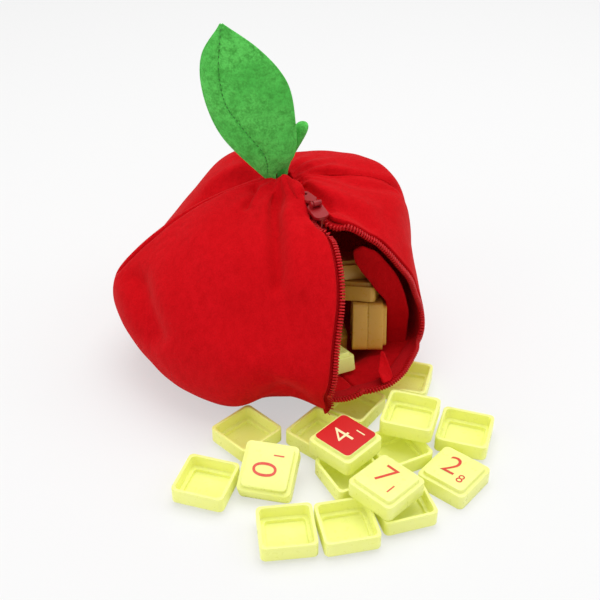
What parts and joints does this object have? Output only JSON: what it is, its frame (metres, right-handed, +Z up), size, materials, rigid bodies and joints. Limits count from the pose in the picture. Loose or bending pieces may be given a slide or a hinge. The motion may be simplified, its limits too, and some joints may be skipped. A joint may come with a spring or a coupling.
{
  "type": "travel word tile game pouch",
  "caption": "Apple-shaped red fleece zip pouch with a green leaf, open and spilling yellow stackable number tiles.",
  "frame": {"origin": "on the table under the stem, in the middle of the pouch's base patch", "axes": "+Z up; -Y is the side that shows the open zipper and the spilled tiles; +X to the right of that view"},
  "size_m": [0.1453, 0.1769, 0.1393],
  "materials": {
    "fleece_red": "short-napped polyester fleece",
    "zipper_tape": "woven polyester tape",
    "zipper_teeth": "nylon teeth",
    "zipper_metal": "red enamel",
    "plush_green": "short green plush",
    "tile_plastic": "translucent moulded plastic"
  },
  "bodies": {
    "pouch": {"gore_front_left": "fleece_red", "gore_back_left": "fleece_red", "gore_back_right": "fleece_red", "gore_front_right": "fleece_red", "base_patch": "fleece_red", "zipper_tape_left": "zipper_tape", "zipper_tape_right": "zipper_tape", "zipper_teeth_left": "zipper_teeth", "zipper_teeth_right": "zipper_teeth", "zipper_top_stop": "zipper_metal", "leaf_front": "plush_green", "leaf_back": "plush_green", "stem": "plush_green", "tile_01": "tile_plastic", "tile_04": "tile_plastic", "tile_09": "tile_plastic", "tile_10": "tile_plastic", "tile_13": "tile_plastic", "tile_14": "tile_plastic", "tile_15": "tile_plastic", "tile_16": "tile_plastic", "tile_inside_1": "tile_plastic", "tile_inside_2": "tile_plastic", "tile_inside_3": "tile_plastic", "tile_inside_4": "tile_plastic", "tile_inside_5": "tile_plastic", "tile_inside_6": "tile_plastic", "tile_inside_7": "tile_plastic"},
    "slider": {"zipper_slider": "zipper_metal"},
    "pull": {"zipper_pull": "zipper_metal"},
    "tile_02": {"tile_02": "tile_plastic"},
    "tile_03": {"tile_03": "tile_plastic"},
    "tile_05": {"tile_05": "tile_plastic"},
    "tile_06": {"tile_06": "tile_plastic"},
    "tile_07": {"tile_07": "tile_plastic"},
    "tile_08": {"tile_08": "tile_plastic"},
    "tile_11": {"tile_11": "tile_plastic"},
    "tile_12": {"tile_12": "tile_plastic"}
  },
  "joints": [
    {"name": "slider_slide", "type": "slide", "parent": "pouch", "child": "slider", "axis": [0.4592, -0.8637, -0.2079], "range_m": [0, 0.003]},
    {"name": "pull_hinge", "type": "hinge", "parent": "slider", "child": "pull", "pos_m": [0.01271, -0.02391, 0.07543], "axis": [0.8829, 0.4695, 0], "range_deg": [0, 130]},
    {"name": "tile_02_lift", "type": "slide", "parent": "pouch", "child": "tile_02", "axis": [0, 0, 1], "range_m": [0, 0.03]},
    {"name": "tile_03_lift", "type": "slide", "parent": "pouch", "child": "tile_03", "axis": [0, 0, 1], "range_m": [0, 0.03]},
    {"name": "tile_05_lift", "type": "slide", "parent": "pouch", "child": "tile_05", "axis": [0, 0, 1], "range_m": [0, 0.03]},
    {"name": "tile_06_lift", "type": "slide", "parent": "pouch", "child": "tile_06", "axis": [0, 0, 1], "range_m": [0, 0.03]},
    {"name": "tile_07_lift", "type": "slide", "parent": "pouch", "child": "tile_07", "axis": [0, 0, 1], "range_m": [0, 0.03]},
    {"name": "tile_08_lift", "type": "slide", "parent": "pouch", "child": "tile_08", "axis": [0, 0, 1], "range_m": [0, 0.03]},
    {"name": "tile_11_lift", "type": "slide", "parent": "pouch", "child": "tile_11", "axis": [0, 0, 1], "range_m": [0, 0.03]},
    {"name": "tile_12_lift", "type": "slide", "parent": "pouch", "child": "tile_12", "axis": [0, 0, 1], "range_m": [0, 0.03]}
  ]
}
